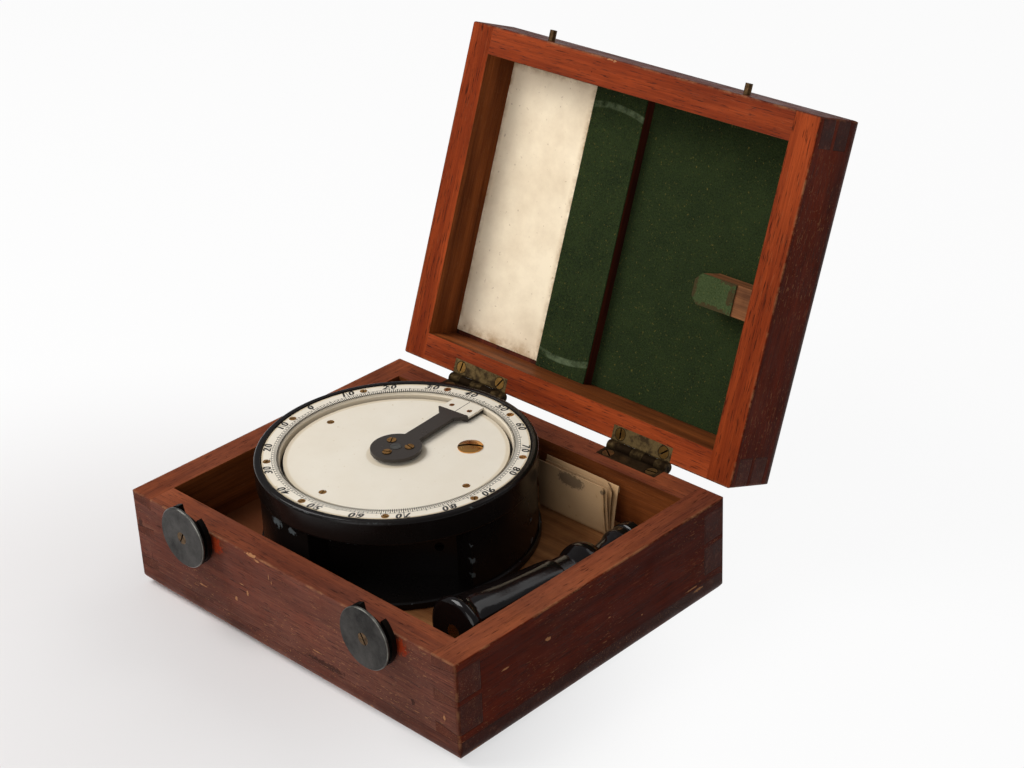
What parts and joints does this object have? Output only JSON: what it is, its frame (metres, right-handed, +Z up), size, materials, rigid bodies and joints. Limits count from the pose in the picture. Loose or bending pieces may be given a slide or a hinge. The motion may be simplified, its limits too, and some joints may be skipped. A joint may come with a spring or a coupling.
{
  "type": "sextant box",
  "caption": "Dovetailed hardwood box with hinged lid and turning catches, holding a drum sextant with its handle and papers.",
  "frame": {"origin": "centre of the box's underside, on the surface it stands on", "axes": "+X to the right along the front, +Y to the hinged back, +Z up; the front with the catches faces -Y"},
  "size_m": [0.245, 0.3143, 0.2482],
  "materials": {
    "outer_wood": "worn shellac",
    "inner_wood": "oiled",
    "block_wood": "bare",
    "baize": "napped",
    "pad_baize": "napped",
    "paper": "aged paper",
    "brass": "aged, satin",
    "hinge_brass": "dull",
    "gunmetal": "darkened, satin",
    "black_lacquer": "chipped lacquer",
    "dial": "matte, aged",
    "grip_wood": "polished black",
    "mirror_glass": "silvered"
  },
  "bodies": {
    "base": {"base_front": "outer_wood", "base_back": "outer_wood", "base_left": "outer_wood", "base_right": "outer_wood", "base_bottom": "outer_wood", "inner_floor": "inner_wood", "bottom_screws": "hinge_brass", "base_hinge_leaves": "hinge_brass", "base_leaf_screws": "hinge_brass", "hinge_pins": "hinge_brass", "catch_plates": "gunmetal", "catch_screws": "brass"},
    "lid": {"lid_front": "outer_wood", "lid_back": "outer_wood", "lid_left": "outer_wood", "lid_right": "outer_wood", "lid_top": "outer_wood", "raised_board": "inner_wood", "strip_baize": "baize", "main_baize": "baize", "paper_label": "paper", "hold_down_block": "block_wood", "hold_down_pad": "pad_baize", "catch_pins": "brass", "lid_hinge_leaves": "hinge_brass", "lid_leaf_screws": "hinge_brass"},
    "left_catch": {"left_catch_cam": "gunmetal", "left_catch_disc": "gunmetal"},
    "right_catch": {"right_catch_cam": "gunmetal", "right_catch_disc": "gunmetal"},
    "sextant": {"foot_disc": "black_lacquer", "drum_wall": "black_lacquer", "eye_plate": "black_lacquer", "bezel": "black_lacquer", "dial_plate": "black_lacquer", "foot_screws": "brass", "limb_ring": "dial", "limb_screws": "brass", "inner_dial": "dial", "dial_screws": "brass", "spindle_bush": "brass", "horizon_mirror_frame": "black_lacquer", "horizon_mirror": "mirror_glass", "mirror_clamp_screw": "brass", "handle_socket": "brass"},
    "index_arm": {"index_arm": "black_lacquer", "hub_screws": "brass", "vernier_plate": "dial", "vernier_screws": "brass", "index_spindle": "brass", "index_mirror_frame": "black_lacquer", "index_mirror": "mirror_glass"},
    "handle": {"handle_grip": "grip_wood", "butt_cap": "brass", "handle_ferrule": "black_lacquer", "ferrule_screw": "brass", "handle_stud": "brass"},
    "papers": {"folded_papers": "paper"}
  },
  "joints": [
    {"name": "lid_hinge", "type": "hinge", "parent": "base", "child": "lid", "pos_m": [0, 0.1015, 0.0581], "axis": [-1, 0, 0], "range_deg": [-111, 0]},
    {"name": "left_catch_turn", "type": "hinge", "parent": "base", "child": "left_catch", "pos_m": [-0.069, -0.1, 0.0537], "axis": [0, 1, 0], "range_deg": [-75, 0]},
    {"name": "right_catch_turn", "type": "hinge", "parent": "base", "child": "right_catch", "pos_m": [0.069, -0.1, 0.0537], "axis": [0, 1, 0], "range_deg": [-75, 0]},
    {"name": "index_arm_turn", "type": "hinge", "parent": "sextant", "child": "index_arm", "pos_m": [-0.0185, -0.0007, 0.073], "axis": [0, 0, 1], "continuous": true},
    {"name": "sextant_lift", "type": "slide", "parent": "base", "child": "sextant", "axis": [0, 0, 1], "range_m": [0, 0.06]},
    {"name": "handle_lift", "type": "slide", "parent": "base", "child": "handle", "axis": [0, 0, 1], "range_m": [0, 0.06]},
    {"name": "papers_lift", "type": "slide", "parent": "base", "child": "papers", "axis": [0, 0, 1], "range_m": [0, 0.06]}
  ]
}
